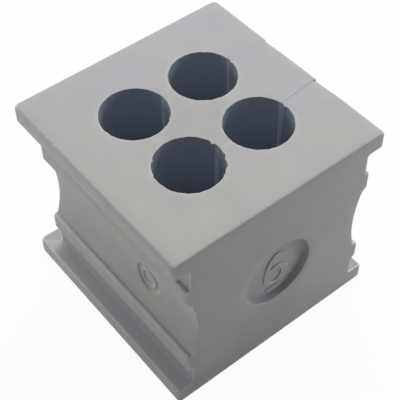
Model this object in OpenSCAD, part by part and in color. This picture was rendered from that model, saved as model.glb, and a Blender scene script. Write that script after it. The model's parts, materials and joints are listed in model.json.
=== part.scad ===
// Square cable grommet with four bores, moulded in one piece of soft elastomer.
// A plate closes it at the top and another at the base, and between them the neck sits
// back on three sides to take the wall of a frame. The fourth side is flat, so that two
// grommets, or a grommet and a frame bar, meet there face to face.
// Millimetres. Z runs up along the bores, X points out of the flat side, and the
// origin is the middle of the base.

/* [Plates] */
// Side of the square top and base plates
plate_side = 21; // [20:0.5:40]
// Thickness of each plate
plate_t = 1.75; // [1:0.05:3]
// Radius of the plates' upright corners
plate_corner_r = 0.4; // [0.1:0.1:1.5]
// Height of the whole grommet
total_h = 19; // [17:0.5:40]

/* [Neck] */
// How far the plates stand out past the neck on three sides
plate_overhang = 1.5; // [1:0.1:2.5]
// Radius of the upright corners at the neck's closed end
neck_corner_r = 0.3; // [0.1:0.1:1]
// Height of the groove between the base plate and the lower bead
lower_groove_h = 2; // [1:0.05:3]
// Height of the groove between the upper bead and the top plate
upper_groove_h = 2.25; // [1:0.05:3]
// How far the waist of the two long sides curves in, at its deepest
waist_depth = 0.55; // [0.2:0.05:1]

/* [Sealing beads] */
// How far each bead stands out past the neck
bead_out = 0.45; // [0.25:0.05:0.9]
// Height of a bead where it leaves the neck
bead_h = 2.15; // [1.2:0.05:3]
// Height of the slant under each bead
bead_slant_h = 0.4; // [0.2:0.05:0.9]
// Radius of a bead's upper outer edge
bead_edge_r = 0.2; // [0.05:0.05:0.4]

/* [Cable bores] */
// Diameter of each bore, which a 6 mm cable fills
bore_d = 5.8; // [2:0.1:6.4]
// Distance between the centres of neighbouring bores
bore_pitch = 7; // [6.6:0.1:8]

/* [Slits] */
// Gap of each slit, as it stands closed
slit_w = 0.05; // [0.02:0.01:0.3]
// How far the inner slit runs off its bores' centre line, towards the middle
inner_slit_shift = 0.05; // [0:0.05:1]
// How far the flat side's slit runs off its bores' centre line, towards the middle
outer_slit_shift = 0.4; // [0:0.05:1]

/* [Size recess] */
// Diameter of the round recess in the flat side
recess_d = 6.8; // [3:0.1:9]
// Depth of the recess
recess_depth = 0.6; // [0.2:0.1:1]

/* [Mould mark] */
// Diameter of the shallow round mark in the waist
mark_d = 3.2; // [1:0.1:4]
// Depth of the mark below the deepest line of the waist
mark_depth = 0.12; // [0.05:0.01:0.3]
// Distance from the mark's centre to the flat side
mark_inset = 6.3; // [3:0.1:10]
// How far the mark's centre lies below the grommet's half height
mark_drop = 0.2; // [0:0.1:1]

/* [Hidden] */
$fn = 96;
overcut = 1;

half_side = plate_side / 2;
mid_h = total_h / 2;
neck_h = total_h - 2 * plate_t;

// Half widths of the neck and of the beads on it
neck_half = half_side - plate_overhang;
bead_half = neck_half + bead_out;

// Heights where the two beads' undersides leave the neck
lower_bead_z = plate_t + lower_groove_h;
upper_bead_z = total_h - plate_t - upper_groove_h - bead_h;

// The waist between the beads: the height of its middle, half its height, and the
// radius of its arc
waist_z = (lower_bead_z + bead_h + upper_bead_z) / 2;
waist_half = (upper_bead_z - lower_bead_z - bead_h) / 2;
waist_r = (waist_half * waist_half + waist_depth * waist_depth) / (2 * waist_depth);

// Plan of the plates: a square with four round corners
module plate_plan() {
    inner = plate_side - 2 * plate_corner_r;
    square([plate_side, inner], center = true);
    square([inner, plate_side], center = true);
    for (x = [-1, 1], y = [-1, 1])
        translate([x * inner / 2, y * inner / 2]) circle(plate_corner_r);
}

// Plan of the neck or of its beads, half_w to each side: round corners at the closed
// end, and cut off flush with the plates at the flat side
module neck_plan(half_w) {
    r = neck_corner_r;
    translate([r - neck_half, -half_w]) square([half_side + neck_half - r, 2 * half_w]);
    translate([-neck_half, r - half_w]) square([half_side + neck_half, 2 * (half_w - r)]);
    for (y = [-1, 1])
        translate([r - neck_half, y * (half_w - r)]) circle(r);
}

// Stands an outline up across the grommet, with its own X along the grommet's Y and its
// own Y up, and runs it through from end to end
module run_through() {
    run = plate_side + 2 * overcut;
    translate([-run / 2, 0, 0]) rotate([90, 0, 90]) linear_extrude(run) children();
}

// The hollow of the waist in one long side: a slice of a large circle that meets the
// neck at both beads
module waist_outline() {
    intersection() {
        translate([neck_half - waist_depth + waist_r, 0]) circle(waist_r, $fn = 256);
        translate([neck_half - waist_depth - overcut, -waist_half])
            square([waist_depth + 2 * overcut, 2 * waist_half]);
    }
}

// A bead on one long side, from its foot up: flat on top, round at the upper outer
// edge and slanted below
module bead_outline() {
    r = bead_edge_r;
    polygon([[0, 0], [neck_half, 0], [bead_half, bead_slant_h], [bead_half, bead_h - r],
             [bead_half - r, bead_h], [0, bead_h]]);
    translate([bead_half - r, bead_h - r]) circle(r);
}

// The neck with its two beads along each long side, between the plates
module neck() {
    difference() {
        translate([0, 0, plate_t]) linear_extrude(neck_h) neck_plan(neck_half);
        for (side = [0, 1])
            mirror([0, side, 0]) translate([0, 0, waist_z]) run_through() waist_outline();
    }
    for (foot = [lower_bead_z, upper_bead_z])
        translate([0, 0, foot])
            intersection() {
                linear_extrude(bead_h) neck_plan(bead_half);
                for (side = [0, 1]) mirror([0, side, 0]) run_through() bead_outline();
            }
}

// The four bores, right through both plates
module bores() {
    for (x = [-1, 1], y = [-1, 1])
        translate([x * bore_pitch / 2, y * bore_pitch / 2, -overcut])
            cylinder(d = bore_d, h = total_h + 2 * overcut);
}

// One slit, from the far side through a pair of bores, for laying a cable in sideways
module slit(x) {
    translate([x - slit_w / 2, -bore_pitch / 2, -overcut])
        cube([slit_w, half_side + bore_pitch / 2 + overcut, total_h + 2 * overcut]);
}

// The round recess that holds the cable size, in the flat side
module size_recess() {
    translate([half_side - recess_depth, 0, mid_h])
        rotate([0, 90, 0]) cylinder(d = recess_d, h = recess_depth + overcut);
}

// The shallow round mark in the waist of the near long side
module mould_mark() {
    floor_y = neck_half - waist_depth - mark_depth;
    translate([half_side - mark_inset, -floor_y, mid_h - mark_drop])
        rotate([90, 0, 0]) cylinder(d = mark_d, h = plate_overhang + waist_depth);
}

module grommet() {
    color([0.68, 0.68, 0.67])
        difference() {
            union() {
                linear_extrude(plate_t) plate_plan();
                neck();
                translate([0, 0, total_h - plate_t]) linear_extrude(plate_t) plate_plan();
            }
            bores();
            slit(inner_slit_shift - bore_pitch / 2);
            slit(bore_pitch / 2 - outer_slit_shift);
            size_recess();
            mould_mark();
        }
}

grommet();
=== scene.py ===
"""Dresses a square cable grommet: one piece of grey elastomer with four slit bores.

The moulding's skin is worked out patch by patch with numpy, in millimetres: a side
profile carried along the two long sides, a rounded edge rolled round the flat side, and a
ribbon that runs in through each slit, round its bores and out again. The patches are
welded, and each plane that is still open, such as the top, is then filled.
"""

import json
import logging
from collections.abc import Sequence
from dataclasses import dataclass
from enum import Enum

import bmesh
import bpy
import numpy as np
from mathutils import Matrix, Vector
from mathutils.geometry import delaunay_2d_cdt


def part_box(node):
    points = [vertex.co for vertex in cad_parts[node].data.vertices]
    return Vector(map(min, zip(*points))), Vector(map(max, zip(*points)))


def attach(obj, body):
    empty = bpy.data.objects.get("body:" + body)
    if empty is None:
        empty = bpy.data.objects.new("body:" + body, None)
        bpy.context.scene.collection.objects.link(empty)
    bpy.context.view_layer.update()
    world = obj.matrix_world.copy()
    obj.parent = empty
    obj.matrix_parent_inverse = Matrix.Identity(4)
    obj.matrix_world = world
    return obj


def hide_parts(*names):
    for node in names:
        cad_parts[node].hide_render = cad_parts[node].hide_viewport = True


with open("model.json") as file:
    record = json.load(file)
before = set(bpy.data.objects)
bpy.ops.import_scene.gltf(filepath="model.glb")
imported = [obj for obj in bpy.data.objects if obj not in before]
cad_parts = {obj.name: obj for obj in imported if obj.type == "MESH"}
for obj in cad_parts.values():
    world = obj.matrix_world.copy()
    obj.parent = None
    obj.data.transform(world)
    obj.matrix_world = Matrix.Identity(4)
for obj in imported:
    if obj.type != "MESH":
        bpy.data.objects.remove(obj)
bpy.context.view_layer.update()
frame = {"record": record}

LOG = logging.getLogger("grommet")
MM = 0.001
NODE = "grommet"
FACE_WEIGHT = 100

Rgb = tuple[float, float, float]
Array = np.ndarray
Socket = bpy.types.NodeSocket


class PaintedLight:
    """The scale of the painted light attribute, which drives the finish's colour: painted shade
    below PLAIN, and painted highlight above it.
    """

    # Painted shade: deepest on the far ledges, then down the bores, then in hollows and creases.
    DEEP_SHADE = -2.0
    BORE_SHADE = -1.0
    SOFT_SHADE = -0.5
    PLAIN = 0.0
    # Painted highlight: along edges, at full strength, and a bluish one down the flaps' tips.
    EDGE_HIGHLIGHT = 0.5
    HIGHLIGHT = 1.0
    CUT_HIGHLIGHT = 2.0


class Side(Enum):
    """The two long sides, by the sign of Y: the near one has the mould mark."""

    NEAR = -1
    FAR = 1


class Axis(Enum):
    """The axis that a plane face looks along."""

    X = 0
    Z = 2


def smooth(t: Array) -> Array:
    """Eases t from 0 to 1 by 3t^2 - 2t^3, and holds it outside that range."""
    t = np.clip(t, 0.0, 1.0)
    return t * t * (3.0 - 2.0 * t)


def lerp(a: Array, b: Array, t: Array) -> Array:
    """The straight blend a + (b - a) t."""
    return a + (b - a) * t


def unit(angle: Array) -> Array:
    """The direction (cos, sin) of each angle in radians."""
    return np.stack([np.cos(angle), np.sin(angle)], axis=-1)


def spread(column: Array, count: int) -> Array:
    """A column of values, count times side by side."""
    return np.repeat(column[:, None], count, axis=1)


@dataclass(frozen=True)
class GrommetSizes:
    """The moulding's sizes in millimetres: the overall ones and the bores come from the
    frame, and the others are the part's own."""

    side: float
    height: float
    bore_r: float
    pitch: float
    plate_t: float = 1.75
    plate_corner_r: float = 0.4
    overhang: float = 1.5
    lower_groove_h: float = 2.0
    upper_groove_h: float = 2.25
    waist_depth: float = 0.55
    bead_out: float = 0.45
    bead_h: float = 2.15
    bead_slant_h: float = 0.4

    @property
    def half(self) -> float:
        """Half the plates' side."""
        return self.side / 2

    @property
    def neck(self) -> float:
        """Half the neck's width."""
        return self.half - self.overhang

    @property
    def mid(self) -> float:
        """Half the height."""
        return self.height / 2

    @property
    def low_foot(self) -> float:
        """Height of the lower bead's foot."""
        return self.plate_t + self.lower_groove_h

    @property
    def high_foot(self) -> float:
        """Height of the upper bead's foot."""
        return self.height - self.plate_t - self.upper_groove_h - self.bead_h

    @property
    def waist_z(self) -> float:
        """Height of the waist's middle."""
        return (self.low_foot + self.bead_h + self.high_foot) / 2

    @property
    def waist_half(self) -> float:
        """Half the height of the waist between the beads."""
        return self.waist_z - self.low_foot - self.bead_h

    @property
    def waist_r(self) -> float:
        """Radius of the waist's arc, from its half height and its depth."""
        return (self.waist_half**2 + self.waist_depth**2) / (2 * self.waist_depth)

    @property
    def waist_lean(self) -> float:
        """Half the angle that the waist's arc spans."""
        return np.arcsin(self.waist_half / self.waist_r)

    def bead(self, foot: float) -> list[tuple[float, float]]:
        """A bead's corners upwards: its foot, the end of its slant, and its level top."""
        face, top = self.neck + self.bead_out, foot + self.bead_h
        return [(self.neck, foot), (face, foot + self.bead_slant_h), (face, top), (self.neck, top)]

    def waist(self, z: Array) -> Array:
        """Half width in the waist at height z: its middle's, plus r - sqrt(r^2 - dz^2)."""
        reach = np.sqrt(self.waist_r**2 - (z - self.waist_z) ** 2)
        return self.neck - self.waist_depth + self.waist_r - reach


@dataclass(frozen=True)
class EdgeSizes:
    """Radii in millimetres that the mould leaves on edges and in corners."""

    plate_rim: float = 0.26
    plate_inner: float = 0.22
    root: float = 0.2
    bead_foot: float = 0.1
    lower_bead: float = 0.34
    upper_bead_slant: float = 0.16
    upper_bead_top: float = 0.24
    bead_root: float = 0.08
    flat_side: float = 0.16
    neck_end: float = 0.14
    slit_lip: float = 0.035
    slit_tip: float = 0.075
    bore_rim: float = 0.055


@dataclass(frozen=True)
class SlitCut:
    """One slit, as it stands closed, in millimetres.

    It runs slightly askew: off its bores' centre line by off where it leaves the far
    bore, by edge_off at the far side's edge and by web_off between its two bores. Its
    width is gap, or web_gap between the bores, and its upper and lower edges have the
    radius rim, or web_rim there. The flap beside it stands back by step_back.
    """

    bore_x: float
    off: float
    edge_off: float
    web_off: float
    gap: float
    web_gap: float
    rim: float
    web_rim: float
    step_back: float

    @property
    def x(self) -> float:
        """X of the slit where it leaves the far bore."""
        return self.bore_x + self.off

    @property
    def edge_x(self) -> float:
        """X of the slit at the far side's edge."""
        return self.bore_x + self.edge_off

    @property
    def web_x(self) -> float:
        """X of the slit between its two bores."""
        return self.bore_x + self.web_off


@dataclass(frozen=True)
class BoreRim:
    """One bore's upper rim as the cut left it: uneven, with shreds of flash.

    The bore is named by the signs of its X and Y. Each burr is its angle in degrees, how
    far it stands in from the rim, and the degrees over which it fades.
    """

    bore: tuple[int, int]
    uneven: float
    seed: int
    burrs: tuple[tuple[float, float, float], ...]
    waves: tuple[int, int] = (9, 30)
    swing: float = 0.25
    burr_columns: int = 5
    burr_span: float = 1.4
    end_clearance: float = 1.0

    def columns(self, start: float, stop: float) -> Array:
        """Angles that catch each burr's shape.

        Args:
            start: One end of the arc, in degrees.
            stop: Its other end.

        Returns:
            The angles that lie on the arc.
        """
        low, high = min(start, stop), max(start, stop)
        at, _, width = np.array(self.burrs).T
        steps = np.linspace(-self.burr_span, self.burr_span, self.burr_columns)
        near = at[:, None] + width[:, None] * steps
        near = (near.ravel() - low) % 360 + low
        return near[(near > low + self.end_clearance) & (near < high - self.end_clearance)]

    def stand_back(self, degrees: Array) -> Array:
        """How far the rim stands back from the bore, less where it is a burr: a sum of
        cosines of the angle with random phases, stronger on two sides, and a bell curve
        for each burr.

        Args:
            degrees: The angles.

        Returns:
            One distance for each angle.
        """
        waves = np.arange(*self.waves)
        phase = np.random.default_rng(self.seed).uniform(0, 2 * np.pi, len(waves))
        turns = np.radians(degrees)[:, None] * waves + phase
        rough = 1 - self.swing + self.swing * np.cos(2 * np.radians(degrees) + phase[0])
        back = self.uneven * rough * np.cos(turns).sum(axis=1) / np.sqrt(len(waves) / 2)
        at, reach, width = np.array(self.burrs).T
        off = (degrees[:, None] - at + 180) % 360 - 180
        return back - (reach * np.exp(-((off / width) ** 2))).sum(axis=1)


@dataclass
class Patch:
    """A grid of points in millimetres with a value on the painted light scale at each: painted
    highlight or shade. A closed one joins its last column to its first, and keep says which
    of its squares are made."""

    points: Array
    painted_light: Array
    closed: bool = False
    keep: Array | None = None


@dataclass
class Outline:
    """Points along a plane outline, the normals out of the material, and their painted light."""

    points: Array
    normals: Array
    painted_light: Array

    def joined(self, *others: "Outline") -> "Outline":
        """This outline with the others after it.

        Args:
            others: Outlines that carry on from it.

        Returns:
            One outline.
        """
        every = (self, *others)
        return Outline(
            np.vstack([o.points for o in every]),
            np.vstack([o.normals for o in every]),
            np.concatenate([o.painted_light for o in every]),
        )


def rounded_chain(corners: Sequence[tuple[float, float]], radii: Sequence[float],
                  steps: Sequence[int]) -> Outline:
    """Rounds every inner corner of a plane polyline.

    Each arc starts radius * tan(turn / 2) before its corner. Its centre stands off the
    line by the radius, within the material at a left turn and outside at a right turn,
    and its points are centre + radius * normal, or minus that at a right turn. Its painted
    light is half a sine wave: a painted highlight up to an edge's at a left turn, and as
    deep a painted shade in the crease at a right turn.

    Args:
        corners: The polyline's corners, the first and last only giving directions.
        radii: One radius for each inner corner.
        steps: How many steps each arc has.

    Returns:
        The arcs' points, one arc after the other.
    """
    corners = np.asarray(corners, float)
    arcs = []
    for i, (radius, count) in enumerate(zip(radii, steps)):
        before, corner, after = corners[i : i + 3]
        into = (corner - before) / np.linalg.norm(corner - before)
        out = (after - corner) / np.linalg.norm(after - corner)
        turn = np.arctan2(into[0] * out[1] - into[1] * out[0], into @ out)
        hand = np.sign(turn)
        first = np.array([into[1], -into[0]])
        start = corner - into * radius * np.tan(abs(turn) / 2)
        centre = start - hand * radius * first
        t = np.linspace(0, 1, count + 1)
        angle = np.arctan2(first[1], first[0]) + turn * t
        normals = unit(angle)
        # Painted highlight on an edge at a left turn, painted shade in the crease at a right turn.
        painted_light = hand * PaintedLight.EDGE_HIGHLIGHT * np.sin(np.pi * t)
        arcs.append(Outline(centre + hand * radius * normals, normals, painted_light))
    return arcs[0].joined(*arcs[1:])


class SideProfile:
    """The outline of a long side from the base's rim up to the top's rim, as half width
    and height, with the heights that the same rows have on the bores' walls.

    The step counts follow the outline's arcs upwards. painted_light is the near side's
    painted highlight and shade, and far_painted_light that of the far side and the closed
    end, whose base ledge has a deeper painted shade.
    """

    PLATE_STEPS = 6
    LOWER_STEPS = (PLATE_STEPS, 5, 3, 2, 4, 6, 3)
    UPPER_STEPS = (2, 3, 5, 3, 3, 5, PLATE_STEPS)
    WAIST_STEPS = 34
    STUB = 1.0
    PLATE_LAG = 0.25
    BEAD_LAG = 0.5
    RIM_HIGHLIGHT = 0.3
    SIDE_HIGHLIGHT = 0.16
    GROOVE_SHADE = -0.45
    DEEP_SHADE_END = 0.5
    GROOVE_END = 1.5

    def __init__(self, sizes: GrommetSizes, edges: EdgeSizes) -> None:
        """Works the rows out.

        Args:
            sizes: The moulding's sizes.
            edges: Its edge radii.
        """
        self.sizes, self.edges = sizes, edges
        line = self._lower().joined(self._waist(), self._upper())
        self.b, self.z = line.points.T
        self.nb, self.nz = line.normals.T
        self.painted_light, self.far_painted_light = self._painted_rows(line.painted_light)
        self.count = len(self.b)
        in_neck = np.isclose(self.nz, 0) & np.isclose(self.b, sizes.neck)
        rows = np.flatnonzero(in_neck)
        self.neck_rows = slice(rows[0], rows[-1] + 1)
        self.inner_z, self.rim = self._inner()

    def _lower(self) -> Outline:
        """The base plate, the groove over it and the lower bead, up to the waist.

        Returns:
            The outline's arcs.
        """
        s, e = self.sizes, self.edges
        lean = s.waist_lean
        corners = [
            (s.half - self.STUB, 0), (s.half, 0), (s.half, s.plate_t), (s.neck, s.plate_t),
            *s.bead(s.low_foot),
            (s.neck - np.sin(lean), s.low_foot + s.bead_h + np.cos(lean)),
        ]
        radii = [e.plate_rim, e.plate_inner, e.root, e.bead_foot, e.lower_bead, e.lower_bead,
                 e.bead_root]
        return rounded_chain(corners, radii, self.LOWER_STEPS)

    def _upper(self) -> Outline:
        """The upper bead, the groove over it and the top plate, from the waist on.

        Returns:
            The outline's arcs.
        """
        s, e = self.sizes, self.edges
        lean, under = s.waist_lean, s.height - s.plate_t
        corners = [
            (s.neck - np.sin(lean), s.high_foot - np.cos(lean)), *s.bead(s.high_foot),
            (s.neck, under), (s.half, under), (s.half, s.height),
            (s.half - self.STUB, s.height),
        ]
        radii = [e.bead_foot, e.upper_bead_slant, e.upper_bead_top, e.bead_root, e.root,
                 e.plate_inner, e.plate_rim]
        return rounded_chain(corners, radii, self.UPPER_STEPS)

    def _waist(self) -> Outline:
        """The hollow between the beads: an arc whose centre lies outside the neck.

        Returns:
            The arc, clear of the beads' feet.
        """
        s = self.sizes
        end = s.waist_lean - 2 * self.edges.bead_foot / s.waist_r
        angle = np.linspace(-end, end, self.WAIST_STEPS)
        points = np.stack(
            [s.neck - s.waist_depth + s.waist_r * (1 - np.cos(angle)),
             s.waist_z + s.waist_r * np.sin(angle)], axis=1)
        return Outline(points, unit(-angle), np.zeros(self.WAIST_STEPS))

    def _painted_rows(self, arcs: Array) -> tuple[Array, Array]:
        """The rows' painted light: the arcs' own, a faint painted highlight along the top
        plate's rim, a little on that plate's side, and painted shade on the base plate's ledge,
        deeper on the far side. Those two shades start GROOVE_END and DEEP_SHADE_END times the
        inner edge's radius in from the side.

        Args:
            arcs: The arcs' own painted light.

        Returns:
            The near side's painted light and the far side's.
        """
        on_ledge = np.isclose(self.z, self.sizes.plate_t)
        left = (self.sizes.half - self.b) / self.edges.plate_inner
        # Painted shade on the base plate's ledge.
        near = np.where(on_ledge & (left > self.GROOVE_END), self.GROOVE_SHADE, arcs)
        rim = slice(-self.PLATE_STEPS - 1, None)
        # A faint painted highlight along the top plate's rim, and a little on its side.
        near[rim] *= self.RIM_HIGHLIGHT
        near[rim] += np.linspace(self.SIDE_HIGHLIGHT, 0, self.PLATE_STEPS + 1)
        near[rim.start - 1] = self.SIDE_HIGHLIGHT
        # A deeper painted shade on the far side's and the closed end's base ledge.
        return near, np.where(on_ledge & (left > self.DEEP_SHADE_END), PaintedLight.DEEP_SHADE, near)

    def _inner(self) -> tuple[Array, Array]:
        """Heights of the rows on the bores' walls, and how far each stands back at a rim.

        Where the outline runs level, its rows lag behind on the base plate and on the
        beads, and lead on the top plate, in step with the half width. Lines from outline
        to bore then never cross. At both rims the rows follow a quarter circle.

        Returns:
            The heights, and the set-back of each row as a share of the rim's radius.
        """
        s = self.sizes
        out = self.b - s.neck
        on_base = self.z < s.plate_t + s.lower_groove_h / 2
        on_top = self.z > s.height - s.plate_t - s.upper_groove_h / 2
        foot = np.where(self.z < s.waist_z, s.low_foot, s.high_foot)
        on_bead = ~on_base & ~on_top & (out > 0)
        z = self.z.copy()
        z -= np.where(on_base, self.PLATE_LAG * out * smooth(self.z / s.plate_t), 0)
        z += np.where(on_top, self.PLATE_LAG * out * smooth((s.height - self.z) / s.plate_t), 0)
        z -= np.where(on_bead, self.BEAD_LAG * out * smooth((self.z - foot) / s.bead_h), 0)
        turn = np.linspace(-np.pi / 2, 0, self.PLATE_STEPS + 1)
        rim = np.zeros(self.count)
        rim[: len(turn)] = 1 - np.cos(turn)
        rim[-len(turn) :] = rim[: len(turn)][::-1]
        z[: len(turn)] = self.edges.bore_rim * (1 + np.sin(turn))
        z[-len(turn) :] = s.height - z[: len(turn)][::-1]
        return z, rim

    @property
    def corner_r(self) -> Array:
        """Radius of the closed end's upright corners in each row: the plates' at the
        plates, the neck's at the neck, and in proportion on the faces between them.

        Returns:
            One radius for each row.
        """
        s, e = self.sizes, self.edges
        share = np.clip((self.b - s.neck) / s.overhang, 0, 1)
        share[self.neck_rows] = 0
        return lerp(e.neck_end, s.plate_corner_r, share)

    @property
    def end(self) -> Array:
        """How far each row reaches towards the closed end: as far as to the side, except
        that the beads stop with the neck.

        Returns:
            One distance for each row.
        """
        reach = self.b.copy()
        reach[self.neck_rows] = self.sizes.neck
        return reach


class Moulding:
    """Collects patches, welds them and fills the open planes, as one mesh.

    Points within WELD millimetres are one, edges over SHARP degrees stay sharp, and
    ON_PLANE is how near a plane's points lie to it. A plane's grid keeps clear of its
    outlines by GRID_CLEAR of its spacing.
    """

    WELD = 2e-5
    SHARP = 35.0
    ON_PLANE = 1e-4
    GRID_CLEAR = 0.6
    CDT_EPSILON = 1e-9

    def __init__(self) -> None:
        """Starts with no points."""
        self.points = np.zeros((0, 3))
        self.painted_light = np.zeros(0)
        self.quads = np.zeros((0, 4), int)
        self.tris = np.zeros((0, 3), int)

    def add(self, patch: Patch) -> None:
        """Adds a patch's points, and a quad for each of its squares that is kept.

        Args:
            patch: The patch.
        """
        rows, columns = patch.points.shape[:2]
        index = len(self.points) + np.arange(rows * columns).reshape(rows, columns)
        if patch.closed:
            index = np.hstack([index, index[:, :1]])
        quads = np.stack(
            [index[:-1, :-1], index[:-1, 1:], index[1:, 1:], index[1:, :-1]], axis=-1)
        keep = np.ones(quads.shape[:2], bool) if patch.keep is None else patch.keep
        self.points = np.vstack([self.points, patch.points.reshape(-1, 3)])
        self.painted_light = np.concatenate([self.painted_light, patch.painted_light.ravel()])
        self.quads = np.vstack([self.quads, quads[keep]])

    def weld(self) -> None:
        """Joins points that lie together, and makes a quad with two joined corners a
        triangle. Quads that shrink further are dropped."""
        keys = np.round(self.points / self.WELD).astype(np.int64)
        _, first, inverse = np.unique(keys, axis=0, return_index=True, return_inverse=True)
        self.points, self.painted_light = self.points[first], self.painted_light[first]
        quads = inverse.ravel()[self.quads]
        same = quads == np.roll(quads, -1, axis=1)
        short = same.sum(axis=1) == 1
        at = np.argmax(same[short], axis=1)
        order = (at[:, None] + np.array([1, 2, 3])) % 4
        self.tris = np.vstack([self.tris, np.take_along_axis(quads[short], order, axis=1)])
        self.quads = quads[~same.any(axis=1)]

    def open_edges(self) -> Array:
        """The edges that only one face has.

        Returns:
            Pairs of point numbers, one row for each edge.
        """
        pairs = [np.stack([faces, np.roll(faces, -1, axis=1)], axis=-1).reshape(-1, 2)
                 for faces in (self.quads, self.tris)]
        edges, uses = np.unique(np.sort(np.vstack(pairs), axis=1), axis=0, return_counts=True)
        return edges[uses == 1]

    @staticmethod
    def inside(at: Array, start: Array, end: Array) -> Array:
        """Whether each point lies within the outlines, by the even-odd rule: a ray from
        it towards the first axis crosses an odd number of edges.

        Args:
            at: The points, one row each.
            start: The edges' starts.
            end: The edges' ends.

        Returns:
            One truth value for each point.
        """
        x, y = at[:, 0, None], at[:, 1, None]
        spans = (start[:, 1] > y) != (end[:, 1] > y)
        rise = np.where(start[:, 1] == end[:, 1], 1.0, end[:, 1] - start[:, 1])
        cross = start[:, 0] + (end[:, 0] - start[:, 0]) * (y - start[:, 1]) / rise
        return (spans & (x < cross)).sum(axis=1) % 2 == 1

    def fill(self, axis: Axis, value: float, spacing: float) -> int:
        """Fills the open outlines that lie in one plane with triangles.

        Points on a square grid stand inside, clear of the outlines, and a Delaunay
        triangulation that keeps every outline edge joins them all.

        Args:
            axis: The axis that the plane looks along.
            value: The plane's place on it.
            spacing: Distance between the grid's points.

        Returns:
            How many triangles were added.
        """
        edges = self.open_edges()
        off_plane = abs(self.points[edges, axis.value] - value)
        edges = edges[(off_plane < self.ON_PLANE).all(axis=1)]
        used, local = np.unique(edges, return_inverse=True)
        local = local.reshape(-1, 2)
        plane = [i for i in range(3) if i != axis.value]
        rim = self.points[used][:, plane]
        start, end = rim[local[:, 0]], rim[local[:, 1]]
        low, high = rim.min(axis=0), rim.max(axis=0)
        grid = np.stack(np.meshgrid(*[np.arange(a + spacing / 2, b, spacing)
                                      for a, b in zip(low, high)]), axis=-1).reshape(-1, 2)
        grid = grid[self.inside(grid, start, end)]
        gap = ((grid[:, None, :] - rim[None, :, :]) ** 2).sum(axis=2).min(axis=1)
        grid = grid[gap > (self.GRID_CLEAR * spacing) ** 2]
        flat = np.vstack([rim, grid])
        result = delaunay_2d_cdt(flat.tolist(), local.tolist(), [], 0, self.CDT_EPSILON)
        source = np.array([ids[0] for ids in result[3]])
        tris = source[np.array([tuple(face) for face in result[2]])]
        tris = tris[self.inside(flat[tris].mean(axis=1), start, end)]
        fresh = np.empty((len(grid), 3))
        fresh[:, axis.value] = value
        fresh[:, plane] = grid
        number = np.concatenate([used, len(self.points) + np.arange(len(grid))])
        self.points = np.vstack([self.points, fresh])
        self.painted_light = np.concatenate([self.painted_light, np.zeros(len(grid))])
        self.tris = np.vstack([self.tris, number[tris]])
        return len(tris)

    def to_object(self, name: str) -> bpy.types.Object:
        """Makes the mesh, smooth but for its sharp edges, with its faces turned outwards.

        Args:
            name: The object's name.

        Returns:
            The new object, linked to the scene.
        """
        mesh = bpy.data.meshes.new(name)
        mesh.from_pydata((self.points * MM).tolist(), [],
                         self.quads.tolist() + self.tris.tolist())
        painted_light = mesh.attributes.new("painted_light", "FLOAT", "POINT")
        painted_light.data.foreach_set("value", self.painted_light.astype(np.float32))
        shape = bmesh.new()
        shape.from_mesh(mesh)
        loose = [v for v in shape.verts if not v.link_faces]
        bmesh.ops.delete(shape, geom=loose, context="VERTS")
        bmesh.ops.recalc_face_normals(shape, faces=shape.faces)
        LOG.info("%s: %d open edges", name, sum(not e.is_manifold for e in shape.edges))
        shape.to_mesh(mesh)
        shape.free()
        mesh.shade_smooth()
        mesh.set_sharp_from_angle(angle=np.radians(self.SHARP))
        piece = bpy.data.objects.new(name, mesh)
        bpy.context.scene.collection.objects.link(piece)
        return piece


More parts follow.
